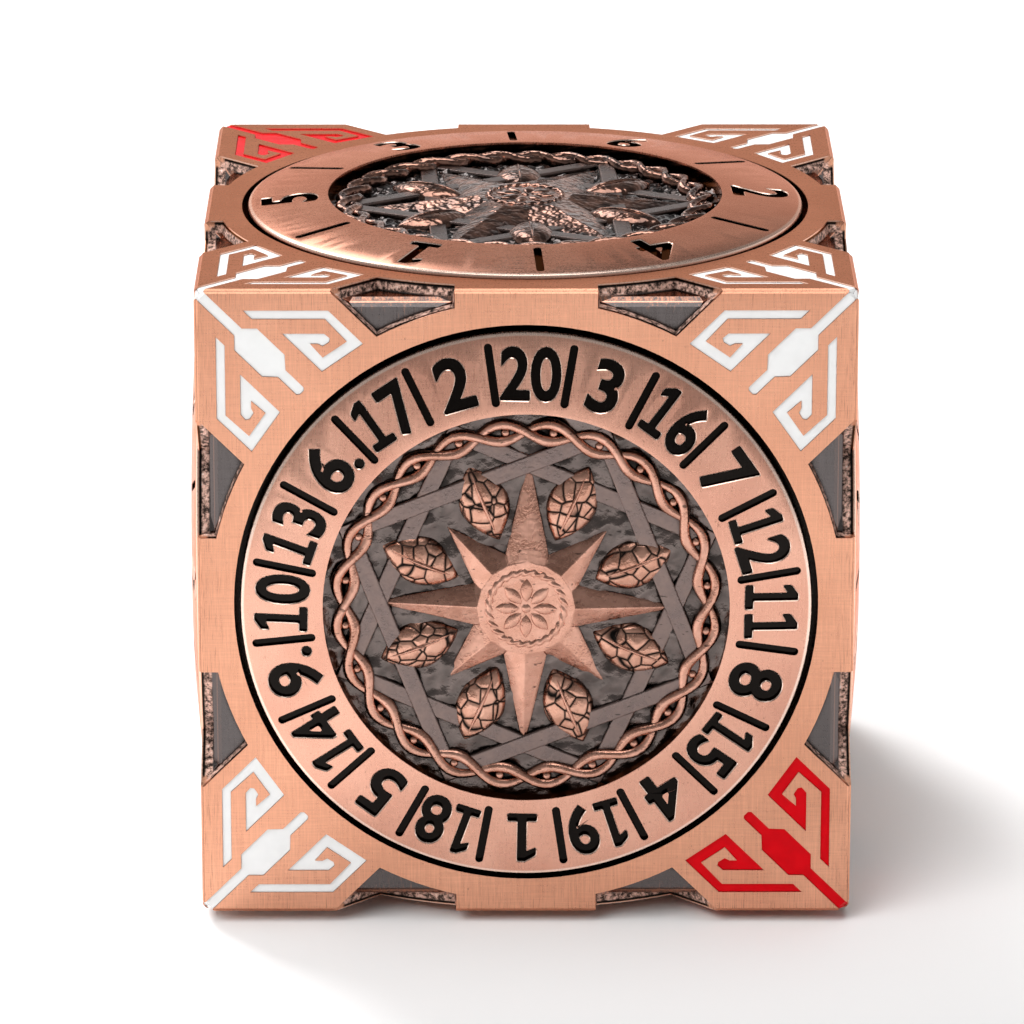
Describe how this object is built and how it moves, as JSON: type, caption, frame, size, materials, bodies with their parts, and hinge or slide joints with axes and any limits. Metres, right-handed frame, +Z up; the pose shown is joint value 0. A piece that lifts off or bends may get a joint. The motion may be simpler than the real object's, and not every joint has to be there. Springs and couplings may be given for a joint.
{
  "type": "spinner dice cube",
  "caption": "Metal cube with a free-spinning numbered dial on a ball bearing in every face; a red enamelled corner marks the result.",
  "frame": {"origin": "middle of the base, on the table, where the flat land of the lower dial rests", "axes": "+Z up; -Y is the front, the face with twenty numbers; +X is the right-hand side seen from the front"},
  "size_m": [0.0414, 0.0414, 0.0414],
  "materials": {
    "plate_copper": "satin",
    "dial_copper": "satin",
    "core_zinc": "matte",
    "white_enamel": "gloss",
    "red_enamel": "gloss",
    "screw_steel": "satin",
    "bearing_steel": "satin",
    "ball_steel": "polished",
    "cage_brass": "satin",
    "axle_steel": "satin"
  },
  "bodies": {
    "cube": {"core": "core_zinc", "white_enamel": "white_enamel", "red_enamel": "red_enamel", "front_plate": "plate_copper", "right_plate": "plate_copper", "back_plate": "plate_copper", "left_plate": "plate_copper", "top_plate": "plate_copper", "bottom_plate": "plate_copper", "front_screws": "screw_steel", "right_screws": "screw_steel", "back_screws": "screw_steel", "left_screws": "screw_steel", "top_screws": "screw_steel", "bottom_screws": "screw_steel", "front_bearing_outer": "bearing_steel", "right_bearing_outer": "bearing_steel", "back_bearing_outer": "bearing_steel", "left_bearing_outer": "bearing_steel", "top_bearing_outer": "bearing_steel", "bottom_bearing_outer": "bearing_steel"},
    "front_dial": {"d20_dial": "dial_copper", "front_axle": "axle_steel", "front_bearing_inner": "bearing_steel"},
    "front_ball_set": {"front_bearing_balls": "ball_steel", "front_bearing_cage": "cage_brass"},
    "right_dial": {"d10_dial": "dial_copper", "right_axle": "axle_steel", "right_bearing_inner": "bearing_steel"},
    "right_ball_set": {"right_bearing_balls": "ball_steel", "right_bearing_cage": "cage_brass"},
    "back_dial": {"d12_dial": "dial_copper", "back_axle": "axle_steel", "back_bearing_inner": "bearing_steel"},
    "back_ball_set": {"back_bearing_balls": "ball_steel", "back_bearing_cage": "cage_brass"},
    "left_dial": {"d8_dial": "dial_copper", "left_axle": "axle_steel", "left_bearing_inner": "bearing_steel"},
    "left_ball_set": {"left_bearing_balls": "ball_steel", "left_bearing_cage": "cage_brass"},
    "top_dial": {"d6_dial": "dial_copper", "top_axle": "axle_steel", "top_bearing_inner": "bearing_steel"},
    "top_ball_set": {"top_bearing_balls": "ball_steel", "top_bearing_cage": "cage_brass"},
    "bottom_dial": {"d4_dial": "dial_copper", "bottom_axle": "axle_steel", "bottom_bearing_inner": "bearing_steel"},
    "bottom_ball_set": {"bottom_bearing_balls": "ball_steel", "bottom_bearing_cage": "cage_brass"}
  },
  "joints": [
    {"name": "front_dial_spin", "type": "hinge", "parent": "cube", "child": "front_dial", "pos_m": [0, 0, 0.0207], "axis": [0, -1, 0], "continuous": true},
    {"name": "right_dial_spin", "type": "hinge", "parent": "cube", "child": "right_dial", "pos_m": [0, 0, 0.0207], "axis": [1, 0, 0], "continuous": true},
    {"name": "back_dial_spin", "type": "hinge", "parent": "cube", "child": "back_dial", "pos_m": [0, 0, 0.0207], "axis": [0, 1, 0], "continuous": true},
    {"name": "left_dial_spin", "type": "hinge", "parent": "cube", "child": "left_dial", "pos_m": [0, 0, 0.0207], "axis": [-1, 0, 0], "continuous": true},
    {"name": "top_dial_spin", "type": "hinge", "parent": "cube", "child": "top_dial", "pos_m": [0, 0, 0.0207], "axis": [0, 0, 1], "continuous": true},
    {"name": "bottom_dial_spin", "type": "hinge", "parent": "cube", "child": "bottom_dial", "pos_m": [0, 0, 0.0207], "axis": [0, 0, -1], "continuous": true},
    {"name": "front_ball_orbit", "type": "hinge", "parent": "cube", "child": "front_ball_set", "pos_m": [0, 0, 0.0207], "axis": [0, -1, 0], "continuous": true},
    {"name": "right_ball_orbit", "type": "hinge", "parent": "cube", "child": "right_ball_set", "pos_m": [0, 0, 0.0207], "axis": [1, 0, 0], "continuous": true},
    {"name": "back_ball_orbit", "type": "hinge", "parent": "cube", "child": "back_ball_set", "pos_m": [0, 0, 0.0207], "axis": [0, 1, 0], "continuous": true},
    {"name": "left_ball_orbit", "type": "hinge", "parent": "cube", "child": "left_ball_set", "pos_m": [0, 0, 0.0207], "axis": [-1, 0, 0], "continuous": true},
    {"name": "top_ball_orbit", "type": "hinge", "parent": "cube", "child": "top_ball_set", "pos_m": [0, 0, 0.0207], "axis": [0, 0, 1], "continuous": true},
    {"name": "bottom_ball_orbit", "type": "hinge", "parent": "cube", "child": "bottom_ball_set", "pos_m": [0, 0, 0.0207], "axis": [0, 0, -1], "continuous": true}
  ],
  "couplings": [
    {"joint": "front_ball_orbit", "follows": "front_dial_spin", "ratio": 0.41664},
    {"joint": "right_ball_orbit", "follows": "right_dial_spin", "ratio": 0.41664},
    {"joint": "back_ball_orbit", "follows": "back_dial_spin", "ratio": 0.41664},
    {"joint": "left_ball_orbit", "follows": "left_dial_spin", "ratio": 0.41664},
    {"joint": "top_ball_orbit", "follows": "top_dial_spin", "ratio": 0.41664},
    {"joint": "bottom_ball_orbit", "follows": "bottom_dial_spin", "ratio": 0.41664}
  ]
}
